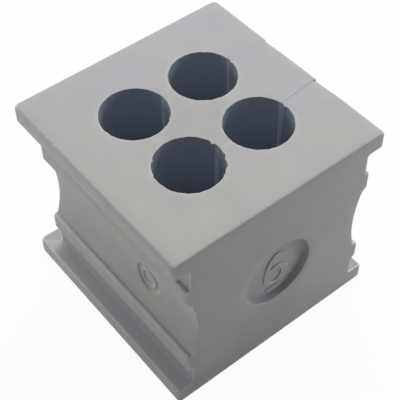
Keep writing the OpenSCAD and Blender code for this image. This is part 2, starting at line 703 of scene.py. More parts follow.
@dataclass(frozen=True)
class SizeRecess:
    """The round recess in the flat side, and the plain number that stands on its floor.

    The number is a 6: a bowl between two ellipses, and a stem between two wider
    ellipses about the same height, which touch the bowl's at its left side. A short
    bar under it shows which way up it is read. number_steps counts the steps of the
    stem, the bowl, the stem's inner side and the bowl's hole. The number's rings move in
    by ring_inset times the draft at ring_height times the relief.
    """

    radius: float = 3.4
    depth: float = 0.6
    rim_r: float = 0.1
    floor_r: float = 0.04
    # Painted shade on the recess's wall.
    wall_shade: float = PaintedLight.SOFT_SHADE
    around: int = 144
    arc_steps: int = 4
    centre: tuple[float, float] = (0.22, 8.64)
    bowl: tuple[float, float] = (1.3, 1.14)
    hole_centre: tuple[float, float] = (0.14, 8.6)
    hole: tuple[float, float] = (0.64, 0.8)
    stroke: float = 0.5
    stem_width: float = 2.76
    stem_height: float = 2.74
    tip_angle: float = 50.0
    number_steps: tuple[int, int, int, int] = (25, 43, 15, 40)
    search_steps: int = 2000
    bar_y: tuple[float, float] = (-0.78, 0.78)
    bar_z: tuple[float, float] = (6.8, 7.1)
    bar_corner: float = 0.08
    relief: float = 0.12
    draft: float = 0.02
    ring_inset: tuple[float, ...] = (0.0, 1.0, 1.4, 2.0)
    ring_height: tuple[float, ...] = (0.0, 0.7, 0.92, 1.0)
    # Painted shade at the number's foot, and painted highlights up its sides and round its top.
    ring_light: tuple[float, ...] = (-0.4, 0.2, 0.5, 0.3)

    def walls(self, face: float, mid: float) -> Patch:
        """The recess from its rim to its floor: a quarter turn out of the flat side, the
        wall, and a quarter turn on to the floor, carried round in a circle.

        Args:
            face: X of the flat side.
            mid: Half the grommet's height.

        Returns:
            The closed patch.
        """
        out = np.linspace(0, np.pi / 2, self.arc_steps + 1)
        rho = np.concatenate([self.radius + self.rim_r * (1 - np.sin(out)),
                              self.radius - self.floor_r * (1 - np.cos(out))])
        x = np.concatenate([face - self.rim_r * (1 - np.cos(out)),
                            face - self.depth + self.floor_r * (1 - np.sin(out))])
        # A painted highlight round the recess's rim, and painted shade down its wall.
        painted_light = np.concatenate([PaintedLight.EDGE_HIGHLIGHT * np.sin(2 * out), self.wall_shade * np.cos(out)])
        painted_light[self.arc_steps] = self.wall_shade / 2
        angle = np.linspace(0, 2 * np.pi, self.around, endpoint=False)
        points = np.stack([
            spread(x, self.around),
            rho[:, None] * np.cos(angle),
            mid + rho[:, None] * np.sin(angle)], axis=-1)
        return Patch(points, spread(painted_light, self.around), closed=True)

    @staticmethod
    def _ellipse(axes: tuple[float, float], centre: tuple[float, float],
                 degrees: Array) -> Array:
        """Points centre + (a cos, c sin) on an ellipse with half axes a and c."""
        return unit(np.radians(degrees)) * axes + centre

    def number(self) -> list[Array]:
        """The number's outlines, as points across and up the flat side.

        The stem's outer ellipse runs down to its left side, the bowl's goes on from there
        round to where the stem's inner ellipse meets it, and that one runs back up.

        Returns:
            Its outer outline, anticlockwise, its bowl's hole, clockwise, and the bar's
            outline, anticlockwise.
        """
        stem_steps, bowl_steps, back_steps, hole_steps = self.number_steps
        middle = (self.centre[0] - self.bowl[0] + self.stem_width / 2, self.centre[1])
        outer = (self.stem_width / 2, self.stem_height)
        inner = (outer[0] - self.stroke, outer[1] - self.stroke)
        search = np.linspace(self.tip_angle, 180, self.search_steps)
        off = (self._ellipse(inner, middle, search) - self.centre) / self.bowl
        meet = np.flatnonzero((off**2).sum(axis=1) < 1)[0]
        meet_bowl = np.degrees(np.arctan2(off[meet, 1], off[meet, 0]))
        down = np.linspace(self.tip_angle, 180, stem_steps + 1)[:-1]
        round_bowl = np.linspace(180, 360 + meet_bowl, bowl_steps + 1)
        back_up = np.linspace(search[meet], self.tip_angle, back_steps + 1)[1:]
        round_hole = np.linspace(360, 0, hole_steps, endpoint=False)
        return [
            np.vstack([self._ellipse(outer, middle, down),
                       self._ellipse(self.bowl, self.centre, round_bowl),
                       self._ellipse(inner, middle, back_up)]),
            self._ellipse(self.hole, self.hole_centre, round_hole),
            self._bar(),
        ]

    def _bar(self) -> Array:
        """The bar's outline: quarter turns about its four corners' centres.

        Returns:
            Its points, anticlockwise.
        """
        (left, right), (foot, top), r = self.bar_y, self.bar_z, self.bar_corner
        turn = np.linspace(0, 90, self.arc_steps + 1)
        corners = [(right - r, top - r, 0), (left + r, top - r, 90),
                   (left + r, foot + r, 180), (right - r, foot + r, 270)]
        return np.vstack([self._ellipse((r, r), (y, z), turn + start)
                          for y, z, start in corners])

    def number_walls(self, face: float) -> list[Patch]:
        """The raised number's slanted sides and round upper edges.

        Each ring is the outline moved along its normals into the number: by nothing at
        the floor, by the draft near the top, and by a little more at the top.

        Args:
            face: X of the flat side.

        Returns:
            A closed patch for each of its outlines.
        """
        floor = face - self.depth
        inset = self.draft * np.array(self.ring_inset)
        height = self.relief * np.array(self.ring_height)
        patches = []
        for line in self.number():
            along = np.roll(line, -1, axis=0) - np.roll(line, 1, axis=0)
            along /= np.linalg.norm(along, axis=1, keepdims=True)
            inward = np.stack([-along[:, 1], along[:, 0]], axis=1)
            ring = line[None] + inward[None] * inset[:, None, None]
            x = spread(floor + height, len(line))[..., None]
            # Painted shade and painted highlights, ring by ring.
            painted_light = spread(np.array(self.ring_light), len(line))
            patches.append(Patch(np.concatenate([x, ring], axis=2), painted_light, closed=True))
        return patches


@dataclass(frozen=True)
class MouldMark:
    """The shallow round mark in the near side's waist, with a plain ring raised in it.

    x and rise are its centre, off the grommet's middle. The ring is ring_r from there,
    and its ridge ends ridge_end times its line's width away from that. Its patch reaches
    past the mark by the margin, and its outer rings lie close as far as fine_width in.
    """

    x: float = 4.2
    rise: float = -0.2
    radius: float = 1.6
    depth: float = 0.14
    margin: float = 0.4
    wall: float = 0.36
    ring_r: float = 0.86
    ring_line: float = 0.13
    ring_height: float = 0.1
    ridge_end: float = 1.5
    # Painted shade on the mark's floor.
    floor_shade: float = -0.25
    fine_width: float = 0.2
    fine_rings: int = 8
    floor_rings: int = 25

    def _sunk(self, away: Array) -> Array:
        """How far the mark is sunk, as a share of its depth, away from its centre."""
        return smooth((self.radius - away) / self.wall)

    def _ridge(self, away: Array) -> Array:
        """The ring's height as a share of its full height, away from the centre."""
        return smooth(self.ridge_end - abs(away - self.ring_r) / self.ring_line)

    def surface(self, x: Array, z: Array, sizes: GrommetSizes) -> Array:
        """Half width at (x, z): the waist's arc, sunk to a level floor inside the mark,
        with a low round ridge along the ring.

        Args:
            x: Places along X.
            z: Heights.
            sizes: The moulding's sizes.

        Returns:
            The half widths.
        """
        floor = sizes.neck - sizes.waist_depth - self.depth
        away = np.hypot(x - self.x, z - sizes.mid - self.rise)
        half = lerp(sizes.waist(z), floor, self._sunk(away))
        return half + self.ring_height * self._ridge(away)

    def patch(self, border: Array, sizes: GrommetSizes) -> Patch:
        """The mark as rings that pass from a square border to circles and close on the
        mark's centre, each laid on the surface.

        Args:
            border: The border's points (x, z), in order round it.
            sizes: The moulding's sizes.

        Returns:
            The closed patch.
        """
        centre = np.array([self.x, sizes.mid + self.rise])
        way = border - centre
        heading = way / np.linalg.norm(way, axis=1, keepdims=True)
        edge, fine = self.radius + self.margin / 2, self.radius - self.fine_width
        rho = np.concatenate([np.linspace(edge, fine, self.fine_rings + 1)[1:],
                              np.linspace(fine, 0, self.floor_rings + 1)[1:]])
        first = centre + edge * heading
        rings = [border[None], lerp(border, first, 0.5)[None], first[None],
                 centre + rho[:, None, None] * heading]
        flat = np.concatenate(rings)
        y = -self.surface(flat[..., 0], flat[..., 1], sizes)
        y[0] = -sizes.waist(border[:, 1])
        points = np.stack([flat[..., 0], y, flat[..., 1]], axis=-1)
        away = np.linalg.norm(flat - centre, axis=-1)
        # A painted highlight along the ring's ridge, and painted shade on the mark's floor.
        painted_light = PaintedLight.EDGE_HIGHLIGHT * self._ridge(away) + self.floor_shade * self._sunk(away)
        return Patch(points, painted_light, closed=True)


class GrommetBody:
    """Builds the moulding's skin.

    The step counts are how many squares its patches have along each stretch. A bore's
    uneven rim reaches RAGGED_DEPTH millimetres down, dies away within TIP_TURN degrees of
    a flap's tip, and its columns stand LEAST_TURN degrees apart or more. SPACINGS are the
    filled planes': the top, the base, the closed end, the flat side, the recess's floor
    and the number's top.
    """

    NEAR_STEPS = (36, 30, 14)
    FAR_STEPS = (20, 24, 26)
    CORNER_STEPS = 5
    END_STEPS = 40
    ACROSS = 64
    LIP_STEPS = 3
    SLIT_STEPS = 6
    TIP_STEPS = 4
    FAR_BORE_STEPS = 40
    NEAR_BORE_STEPS = 78
    RAGGED_DEPTH = 0.5
    LEAST_TURN = 0.4
    TIP_TURN = 7.0
    # A faint painted highlight where the bores' walls meet the top and the base.
    PLANE_RIM_HIGHLIGHT = PaintedLight.EDGE_HIGHLIGHT / 3
    # How strong the flat side's painted edge highlight is along the top.
    TOP_HIGHLIGHT_SHARE = 0.4
    FLAP_REACH = 2.2
    FLAP_RAMP = 0.9
    SPACINGS = (0.6, 1.0, 1.0, 0.7, 0.3, 0.15)

    def __init__(self, sizes: GrommetSizes, edges: EdgeSizes, slits: list[SlitCut],
                 rims: list[BoreRim], recess: SizeRecess, mark: MouldMark) -> None:
        """Keeps what the body is made from.

        Args:
            sizes: Its sizes.
            edges: Its edge radii.
            slits: Its slits, from the closed end to the flat side.
            rims: Its bores' upper rims.
            recess: The recess in its flat side.
            mark: The mark in its near side.
        """
        self.sizes, self.edges, self.slits = sizes, edges, slits
        self.rims = {rim.bore: rim for rim in rims}
        self.recess, self.mark = recess, mark
        self.profile = SideProfile(sizes, edges)
        self.moulding = Moulding()

    def build(self, name: str) -> bpy.types.Object:
        """Adds every patch, welds them and fills the planes.

        Args:
            name: The object's name.

        Returns:
            The finished object.
        """
        s = self.sizes
        self._near_side()
        self._far_side()
        self._closed_end()
        self._flat_side_edge()
        self.moulding.add(self.recess.walls(s.half, s.mid))
        for patch in self.recess.number_walls(s.half):
            self.moulding.add(patch)
        self.moulding.weld()
        floor = s.half - self.recess.depth
        planes = [(Axis.Z, s.height), (Axis.Z, 0.0), (Axis.X, -s.neck), (Axis.X, s.half),
                  (Axis.X, floor), (Axis.X, floor + self.recess.relief)]
        for (axis, value), spacing in zip(planes, self.SPACINGS):
            count = self.moulding.fill(axis, value, spacing)
            LOG.info("plane %s = %.2f: %d triangles", axis.name, value, count)
        self._settle_flaps()
        return self.moulding.to_object(name)

    def _side(self, side: Side, breaks: Sequence[float], counts: Sequence[int],
              from_corner: bool = True) -> Patch:
        """One stretch of a long side: the profile carried along X.

        Args:
            side: Which long side.
            breaks: X of the stations where the spacing changes. With from_corner, the
                first stretch starts at the closed end's corner, wherever a row has it.
            counts: Number of steps up to each break, or between the breaks.
            from_corner: Whether the stretch starts at that corner.

        Returns:
            The patch, with rows up the profile and columns along X.
        """
        p = self.profile
        start = p.corner_r - p.end if from_corner else np.full(p.count, breaks[0])
        ends = breaks if from_corner else breaks[1:]
        columns = [start[:, None]]
        for stop, steps in zip(ends, counts):
            t = np.linspace(0, 1, steps + 1)[1:]
            columns.append(lerp(columns[-1][:, -1:], stop, t))
        x = np.hstack(columns)
        painted_light = p.painted_light if side is Side.NEAR else p.far_painted_light
        y, z, paint_level = (spread(column, x.shape[1]) for column in (side.value * p.b, p.z, painted_light))
        return Patch(np.stack([x, y, z], axis=-1), paint_level)

    def _near_side(self) -> None:
        """Adds the near side, with the mould mark's patch let into its waist."""
        p, m, counts = self.profile, self.mark, self.NEAR_STEPS
        reach = m.radius + m.margin
        stop = self.sizes.half - self.edges.flat_side
        patch = self._side(Side.NEAR, [m.x - reach, m.x + reach, stop], counts)
        middle = self.sizes.mid + m.rise
        rows = np.flatnonzero(abs(p.z - middle) < reach)
        low, high = rows[0], rows[-1]
        left, right = counts[0], counts[0] + counts[1]
        keep = np.ones((p.count - 1, sum(counts)), bool)
        keep[low:high, left:right] = False
        patch.keep = keep
        self.moulding.add(patch)
        flat = patch.points[low : high + 1, left : right + 1][..., [0, 2]]
        border = np.vstack([flat[0, :-1], flat[:-1, -1], flat[-1, :0:-1], flat[:0:-1, 0]])
        self.moulding.add(m.patch(border, self.sizes))

    def _far_side(self) -> None:
        """Adds the far side between the slits, and each slit's ribbon."""
        lip = self.edges.slit_lip
        west = [cut.edge_x - cut.gap / 2 - lip for cut in self.slits]
        east = [cut.edge_x + cut.gap / 2 + lip for cut in self.slits]
        stop = self.sizes.half - self.edges.flat_side
        first, middle, last = self.FAR_STEPS
        self.moulding.add(self._side(Side.FAR, [west[0]], [first]))
        self.moulding.add(self._side(Side.FAR, [east[0], west[1]], [middle], False))
        self.moulding.add(self._side(Side.FAR, [east[1], stop], [last], False))
        for cut in self.slits:
            self.moulding.add(self._slit_ribbon(cut))

    def _slit_ribbon(self, cut: SlitCut) -> Patch:
        """The wall that runs in through a slit, round its two bores and out again.

        In plan it is a chain of arcs, each centre + r * (cos, sin) of an angle that also
        points into the material: positive r round a bore, negative at a flap's tip. Its
        lip at the far side follows the side's profile, and straight lines join the two.

        Args:
            cut: The slit.

        Returns:
            The patch, with rows up the wall.
        """
        p, e = self.profile, self.edges
        plan, into, rim, ragged, tips = self._plan(cut)
        back = p.rim[:, None] * rim[None, :]
        near_top = smooth(1 - (self.sizes.height - p.inner_z[:, None]) / self.RAGGED_DEPTH)
        push = (back + ragged[None, :] * near_top)[..., None]
        flat = plan[None] + into[None] * push
        wall = np.dstack([flat, spread(p.inner_z, len(plan))])
        # Painted shade down the bores' walls, a painted highlight round their rims, and a bluish
        # painted highlight down the flaps' tips.
        inner, cut_highlight = np.full(p.count, PaintedLight.BORE_SHADE), np.full(p.count, PaintedLight.CUT_HIGHLIGHT)
        inner[p.rim > 0], cut_highlight[p.rim > 0] = PaintedLight.EDGE_HIGHLIGHT, PaintedLight.PLAIN
        inner[[0, -1]] = self.PLANE_RIM_HIGHLIGHT
        paint_level = np.where(tips[None, :], cut_highlight[:, None], inner[:, None])
        lips = []
        for hand in (1, -1):
            turn = np.radians(90 + hand * np.linspace(0, 90, self.LIP_STEPS + 1))
            edge = cut.edge_x + hand * (cut.gap / 2 + e.slit_lip)
            across = e.slit_lip - p.rim[:, None] * cut.rim
            x = edge + across * np.cos(turn)
            y = p.b[:, None] - e.slit_lip * (1 - np.sin(turn))
            lips.append(np.dstack([x, y, spread(p.z, len(turn))]))
        steps = np.linspace(0, 1, self.SLIT_STEPS + 1)[1:-1, None]
        going_in = lerp(lips[0][:, -1:, :], wall[:, :1, :], steps)
        coming_out = lerp(wall[:, -1:, :], lips[1][:, -1:, :], steps)
        points = np.concatenate(
            [lips[0], going_in, wall, coming_out, lips[1][:, ::-1]], axis=1)
        side = spread(p.far_painted_light, lips[0].shape[1] + len(steps))
        return Patch(points, np.hstack([side, paint_level, side]))

    def _tip_centre(self, bore: Array, middle: float, gap: float, hand: int,
                    up: int) -> Array:
        """Centre of a flap's round tip, which stands off both the slit and the bore by
        its radius: up from the bore by the other leg of a right triangle.

        Args:
            bore: The bore's centre.
            middle: X of the slit.
            gap: The slit's width.
            hand: 1 on the flat side's side of the slit, and -1 on the other.
            up: 1 on the bore's far side, and -1 on its near side.

        Returns:
            The centre in plan.
        """
        r, tip = self.sizes.bore_r, self.edges.slit_tip
        x = middle + hand * (gap / 2 + tip)
        return np.array([x, bore[1] + up * np.sqrt((r + tip) ** 2 - (x - bore[0]) ** 2)])

    def _arcs(self, cut: SlitCut) -> list[tuple[Array, float, float, float, int]]:
        """The arcs of a slit's inner wall in plan, from the far bore's tip on one side of
        the slit, round both bores, to the tip on the other.

        Args:
            cut: The slit.

        Returns:
            Each arc's centre, radius, first and last angle in degrees, and steps.
        """
        r, tip, steps = self.sizes.bore_r, self.edges.slit_tip, self.TIP_STEPS
        far = np.array([cut.bore_x, self.sizes.pitch / 2])
        near = far * [1, -1]
        mouth, web = (cut.x, cut.gap), (cut.web_x, cut.web_gap)
        at = [(far, mouth, 1, 1), (far, web, 1, -1), (near, web, 1, 1),
              (near, web, -1, 1), (far, web, -1, -1), (far, mouth, -1, 1)]
        tips = [self._tip_centre(bore, *slit, hand, up) for bore, slit, hand, up in at]
        turn = [np.degrees(np.arctan2(*(centre - bore)[::-1]))
                for centre, (bore, *_) in zip(tips, at)]
        return [
            (tips[0], -tip, 0, turn[0], steps),
            (far, r, turn[0], turn[1], self.FAR_BORE_STEPS),
            (tips[1], -tip, turn[1], 0, steps),
            (tips[2], -tip, 0, turn[2], steps),
            (near, r, turn[2], turn[3] - 360, self.NEAR_BORE_STEPS),
            (tips[3], -tip, turn[3], 180, steps),
            (tips[4], -tip, 180, turn[4] + 360, steps),
            (far, r, turn[4] + 360, turn[5], self.FAR_BORE_STEPS),
            (tips[5], -tip, turn[5], 180, steps),
        ]

    def _plan(self, cut: SlitCut) -> tuple[Array, ...]:
        """A slit's inner wall in plan, with the bores' uneven rims.

        Args:
            cut: The slit.

        Returns:
            Points, directions into the material, the rim's radius, its unevenness, and
            whether the point is on a flap's tip.
        """
        arcs = self._arcs(cut)
        edge_rims = [cut.rim] * 2 + [cut.web_rim] * (len(arcs) - 3) + [cut.rim] * 2
        parts = []
        for number, (centre, radius, start, stop, steps) in enumerate(arcs):
            degrees = np.linspace(start, stop, steps + 1)
            uneven = share = np.zeros(len(degrees))
            if radius > 0:
                bore_rim = self.rims[tuple(np.sign(centre).astype(int))]
                extra = bore_rim.columns(start, stop)
                degrees = np.sort(np.concatenate([degrees[1:-1], extra]))
                degrees = degrees[np.append(True, np.diff(degrees) > self.LEAST_TURN)]
                degrees = degrees if start < stop else degrees[::-1]
                ends = np.minimum(abs(degrees - start), abs(degrees - stop))
                share = smooth(ends / self.TIP_TURN)
                uneven = bore_rim.stand_back(degrees)
            slit_rim = np.linspace(edge_rims[number], edge_rims[number + 1], len(degrees))
            way = unit(np.radians(degrees))
            parts.append((centre + radius * way, way,
                          lerp(slit_rim, self.edges.bore_rim, share), share * uneven,
                          np.full(len(degrees), radius < 0)))
        return tuple(np.concatenate(part) for part in zip(*parts))

    def _closed_end(self) -> None:
        """Adds the closed end: its upright corners, and the plates' edges between them.

        On the plates a corner is an arc in plan. On the neck it rolls round the profile:
        each point moves in along the profile's normal by r (1 - cos) as it moves out to
        the end by r sin, so the beads' ends are rounded all the way.
        """
        p = self.profile
        t = np.linspace(0, np.pi / 2, self.CORNER_STEPS + 1)
        r, end = p.corner_r[:, None], p.end[:, None]
        x = r - end - r * np.sin(t)
        inset = r * (1 - np.cos(t))
        nb, nz = np.ones(p.count), np.zeros(p.count)
        nb[p.neck_rows], nz[p.neck_rows] = p.nb[p.neck_rows], p.nz[p.neck_rows]
        b, z = p.b[:, None] - nb[:, None] * inset, p.z[:, None] - nz[:, None] * inset
        upright = abs(p.nb[:, None])
        # A painted highlight round the upright corners, over the far side's painted light.
        painted_light = p.far_painted_light[:, None] + PaintedLight.EDGE_HIGHLIGHT * np.sin(2 * t) * upright
        for side in Side:
            self.moulding.add(Patch(np.stack([x, side.value * b, z], axis=-1), painted_light))
        across = np.linspace(-1, 1, self.END_STEPS + 1)
        low, high = p.neck_rows.start, p.neck_rows.stop - 1
        for rows in (slice(0, low + 1), slice(high, p.count)):
            y = b[rows, -1:] * across
            # The far side's painted light, with the deep painted shade on the base ledge.
            flat_x, flat_z, flat_paint = (
                spread(column[rows], len(across)) for column in (x[:, -1], z[:, -1], p.far_painted_light))
            self.moulding.add(Patch(np.stack([flat_x, y, flat_z], axis=-1), flat_paint))

    def _flat_side_edge(self) -> None:
        """Adds the rounded edge round the flat side.

        The outline of the whole end, up the near profile, across the top, down the far
        profile and back along the base, moves in along its normals by r (1 - cos) as it
        moves out along X by r sin.
        """
        p, s, r = self.profile, self.sizes, self.edges.flat_side
        reach = s.half - self.edges.plate_rim
        across = np.linspace(-reach, reach, self.ACROSS + 1)[1:-1]
        flat = np.full(len(across), 0.0)
        near = np.stack([-p.b, p.z, -p.nb, p.nz], axis=1)
        far = np.stack([p.b, p.z, p.nb, p.nz], axis=1)[::-1]
        top = np.stack([across, flat + s.height, flat, flat + 1], axis=1)
        base = np.stack([across, flat, flat, flat - 1], axis=1)[::-1]
        loop = np.vstack([near, top, far, base])
        painted_light = np.concatenate([p.painted_light, flat, p.far_painted_light[::-1], flat])
        side = np.ones(p.count)
        share = np.concatenate([side, flat + self.TOP_HIGHLIGHT_SHARE, side, flat + 1])
        t = np.linspace(0, np.pi / 2, self.CORNER_STEPS + 1)[:, None, None]
        line, normal = loop[:, :2], loop[:, 2:]
        points = line[None] - normal[None] * r * (1 - np.cos(t))
        x = np.repeat(s.half - r + r * np.sin(t), len(loop), axis=1)
        # A painted highlight round the flat side's edge, fainter along the top, over the sides'
        # own painted light.
        paint_level = np.maximum(np.sin(2 * t[..., 0]) * share, painted_light[None])
        self.moulding.add(Patch(np.concatenate([x, points], axis=2), paint_level, closed=True))

    def _settle_flaps(self) -> None:
        """Lets the flap on the flat side's side of each slit stand back a little.

        The step is largest at the slit and at the far side's edge, and dies away with a
        bell curve along X and an eased ramp along Y.
        """
        x, y = self.moulding.points[:, 0], self.moulding.points[:, 1]
        leave = self.sizes.pitch / 2 + self.sizes.bore_r
        for cut in self.slits:
            out = (y - leave) / (self.sizes.half - leave)
            slit_x = lerp(cut.x, cut.edge_x, np.clip(out, 0, 1))
            fade = np.exp(-(((x - slit_x) / self.FLAP_REACH) ** 2)) * (x > slit_x)
            self.moulding.points[:, 1] -= cut.step_back * fade * smooth(out / self.FLAP_RAMP)


def rgba(colour: Sequence[float]) -> tuple[float, ...]:
    """A colour with full alpha after it."""
    return (*colour, 1.0)


@dataclass(frozen=True)
class Noise:
    """A noise pattern: waves per metre, octaves, and how strong each next octave is."""

    scale: float
    detail: float
    roughness: float


class NodeTree:
    """A material's or the world's own nodes, started afresh."""

    MIX_COLOURS = slice(6, 8)
    MIX_RESULT = 2

    def __init__(self, owner: bpy.types.Material | bpy.types.World) -> None:
        """Empties the owner's node tree.

        Args:
            owner: The material or the world.
        """
        owner.use_nodes = True
        self.tree = owner.node_tree
        self.tree.nodes.clear()

    def feed(self, source: object, socket: Socket) -> None:
        """Links a socket to another one, or sets a plain value on it.

        Args:
            source: The socket or the value.
            socket: Where it goes.
        """
        if isinstance(source, Socket):
            self.tree.links.new(source, socket)
        else:
            socket.default_value = source

    def add(self, kind: str, *sources: object, **settings: object) -> bpy.types.Node:
        """Adds a node.

        Args:
            kind: Its type.
            sources: Sockets or plain values for its first inputs, in their order.
            settings: Values for its own attributes.

        Returns:
            The node.
        """
        node = self.tree.nodes.new(kind)
        for name, value in settings.items():
            setattr(node, name, value)
        for source, socket in zip(sources, node.inputs):
            self.feed(source, socket)
        return node

    def place(self) -> Socket:
        """The object's own coordinates."""
        return self.add("ShaderNodeTexCoord").outputs["Object"]

    def noise(self, noise: Noise) -> Socket:
        """A noise over the object's own coordinates, with 0 as the fourth one."""
        sources = (self.place(), 0.0, noise.scale, noise.detail, noise.roughness)
        return self.add("ShaderNodeTexNoise", *sources).outputs["Fac"]

    def span(self, value: Socket, *ends: float) -> Socket:
        """Maps a value's range evenly on to 0 to 1, or another range, and holds it outside."""
        return self.add("ShaderNodeMapRange", value, *ends).outputs[0]

    def maths(self, operation: str, *values: object) -> Socket:
        """The result of a sum on two values."""
        return self.add("ShaderNodeMath", *values, operation=operation).outputs[0]

    def vector(self, operation: str, *vectors: object) -> bpy.types.Node:
        """A sum on one or two vectors."""
        return self.add("ShaderNodeVectorMath", *vectors, operation=operation)

    def mix(self, amount: Socket, first: object, second: Rgb) -> Socket:
        """Mixes two colours.

        Args:
            amount: The second one's share.
            first: A socket or a colour.
            second: A colour.

        Returns:
            The mixed colour.
        """
        node = self.add("ShaderNodeMix", amount, data_type="RGBA")
        colour = first if isinstance(first, Socket) else rgba(first)
        for source, socket in zip((colour, rgba(second)), node.inputs[self.MIX_COLOURS]):
            self.feed(source, socket)
        return node.outputs[self.MIX_RESULT]

    def blend(self, amount: Socket, first: bpy.types.Node, second: bpy.types.Node) -> Socket:
        """Two shaders mixed, with amount as the second one's share."""
        sources = (amount, first.outputs[0], second.outputs[0])
        return self.add("ShaderNodeMixShader", *sources).outputs[0]

    def seen(self) -> Socket:
        """Whether a ray comes from the camera, a reflection or a see-through surface.

        Returns:
            The value, 1 where it does.
        """
        path = self.add("ShaderNodeLightPath")
        most = path.outputs["Is Camera Ray"]
        for name in ("Is Glossy Ray", "Is Transmission Ray"):
            most = self.maths("MAXIMUM", most, path.outputs[name])
        return most


@dataclass(frozen=True)
class ElastomerFinish:
    """Soft moulded elastomer: matt and light grey, faintly mottled, with a fine grain.

    Its grey turns from warm at the near corner to cool at the back by up to light_tint of
    the mottle's range, a painted tint of the lamps' light. It is darker towards the
    middle, and carries the painted highlights and shade of the painted light scale.
    """

    name: str = "elastomer_light_grey"
    warm: Rgb = (0.443, 0.435, 0.403)
    cool: Rgb = (0.423, 0.422, 0.436)
    # A darker grey towards the middle of the part.
    darker_middle: Rgb = (0.37, 0.367, 0.34)
    # Painted highlight on edges and rims.
    painted_highlight: Rgb = (0.82, 0.82, 0.81)
    # Dust for the specks, and the far ledges' deepest painted shade.
    dust_and_shade: Rgb = (0.33, 0.33, 0.325)
    # Painted shade in hollows, creases, recesses and on the near ledge.
    hollow: Rgb = (0.433, 0.425, 0.482)
    # Painted shade down the bores.
    sunk: Rgb = (0.35, 0.4, 0.465)
    # A bluish painted highlight down the flaps' tips.
    cut: Rgb = (0.54, 0.6, 0.69)
    mottle: Noise = Noise(210.0, 4.0, 0.55)
    patches: Noise = Noise(1260.0, 4.0, 0.6)
    specks: Noise = Noise(1500.0, 3.0, 0.6)
    gloss: Noise = Noise(420.0, 3.0, 0.5)
    wave: Noise = Noise(420.0, 3.0, 0.5)
    grain: Noise = Noise(5200.0, 4.0, 0.6)
    tone_span: tuple[float, float] = (0.32, 0.68)
    # Painted tint of the lamps' light: warm at the near corner, cool at the back.
    tint_span: tuple[float, float] = (-0.014, 0.012)
    light_tint: float = 0.12
    middle_span: tuple[float, float] = (0.0015, 0.0065)
    middle_share: float = 0.5
    speck_span: tuple[float, float] = (0.66, 0.78)
    speck_share: float = 0.35
    highlight_start: float = 0.05
    patch_span: tuple[float, float] = (0.35, 0.6)
    patch_share: tuple[float, float] = (0.5, 1.0)
    sunk_share: float = 0.8
    gloss_span: tuple[float, float] = (0.3, 0.7)
    roughness: tuple[float, float] = (0.52, 0.66)
    specular: float = 0.35
    bump_strength: float = 0.5
    wave_height: float = 0.00004
    grain_height: float = 0.000008

    def build(self) -> bpy.types.Material:
        """Makes the node material.

        Returns:
            The material.
        """
        material = bpy.data.materials.new(self.name)
        nodes = NodeTree(material)
        skin = nodes.add("ShaderNodeBsdfPrincipled")
        nodes.add("ShaderNodeOutputMaterial", skin.outputs["BSDF"])
        gloss = nodes.span(nodes.noise(self.gloss), *self.gloss_span, *self.roughness)
        inputs = {"Base Color": self._painted_light_colour(nodes, self._grey(nodes)), "Roughness": gloss,
                  "Specular IOR Level": self.specular, "Normal": self._relief(nodes)}
        for name, source in inputs.items():
            nodes.feed(source, skin.inputs[name])
        return material

    def _grey(self, nodes: NodeTree) -> Socket:
        """The plain surface's colour: mottled, with a painted light tint from warm at the near
        corner to cool at the back, darker towards the middle, and specked with dust.

        Args:
            nodes: The material's nodes.

        Returns:
            The colour.
        """
        place = nodes.place()
        # A painted tint of the lamps' light: warmer at the near corner, cooler at the back.
        aside = nodes.vector("DOT_PRODUCT", place, (1, -1, 0)).outputs["Value"]
        light_tint = nodes.span(aside, *self.tint_span, self.light_tint, -self.light_tint)
        tone = nodes.maths("ADD", nodes.noise(self.mottle), light_tint)
        mottled = nodes.mix(nodes.span(tone, *self.tone_span), self.warm, self.cool)
        # Darker towards the middle of the part, fading out from 1.5 to 6.5 mm away from it.
        level = nodes.vector("MULTIPLY", place, (1, 1, 0)).outputs["Vector"]
        away = nodes.vector("LENGTH", level).outputs["Value"]
        near_middle = nodes.span(away, *self.middle_span, self.middle_share, 0)
        middle_darkened = nodes.mix(near_middle, mottled, self.darker_middle)
        specks = nodes.span(nodes.noise(self.specks), *self.speck_span, 0, self.speck_share)
        return nodes.mix(specks, middle_darkened, self.dust_and_shade)

    def _painted_light_colour(self, nodes: NodeTree, grey: Socket) -> Socket:
        """The colour along the painted light scale: patchy painted highlights above the plain
        surface, painted shade in hollows, deeper down the bores and deepest on the far ledges
        below it, and a bluish painted highlight down the flaps' tips past an edge's.

        Args:
            nodes: The material's nodes.
            grey: The plain surface's colour.

        Returns:
            The colour.
        """
        paint_level = nodes.add("ShaderNodeAttribute", attribute_name="painted_light").outputs["Fac"]
        # Patchy painted highlight on edges and rims.
        patchy = nodes.span(nodes.noise(self.patches), *self.patch_span, *self.patch_share)
        highlight_amount = nodes.maths("MULTIPLY", nodes.span(paint_level, self.highlight_start, PaintedLight.HIGHLIGHT), patchy)
        colour = nodes.mix(highlight_amount, grey, self.painted_highlight)
        # Painted shade in hollows, deeper down the bores and deepest on the far ledges, and a
        # bluish painted highlight down the flaps' tips.
        for start, stop, share, tint in (
                (PaintedLight.PLAIN, PaintedLight.SOFT_SHADE, 1.0, self.hollow),
                (PaintedLight.SOFT_SHADE, PaintedLight.BORE_SHADE, self.sunk_share, self.sunk),
                (PaintedLight.BORE_SHADE, PaintedLight.DEEP_SHADE, 1.0, self.dust_and_shade),
                (PaintedLight.HIGHLIGHT, PaintedLight.CUT_HIGHLIGHT, 1.0, self.cut)):
            colour = nodes.mix(nodes.span(paint_level, start, stop, 0.0, share), colour, tint)
        return colour

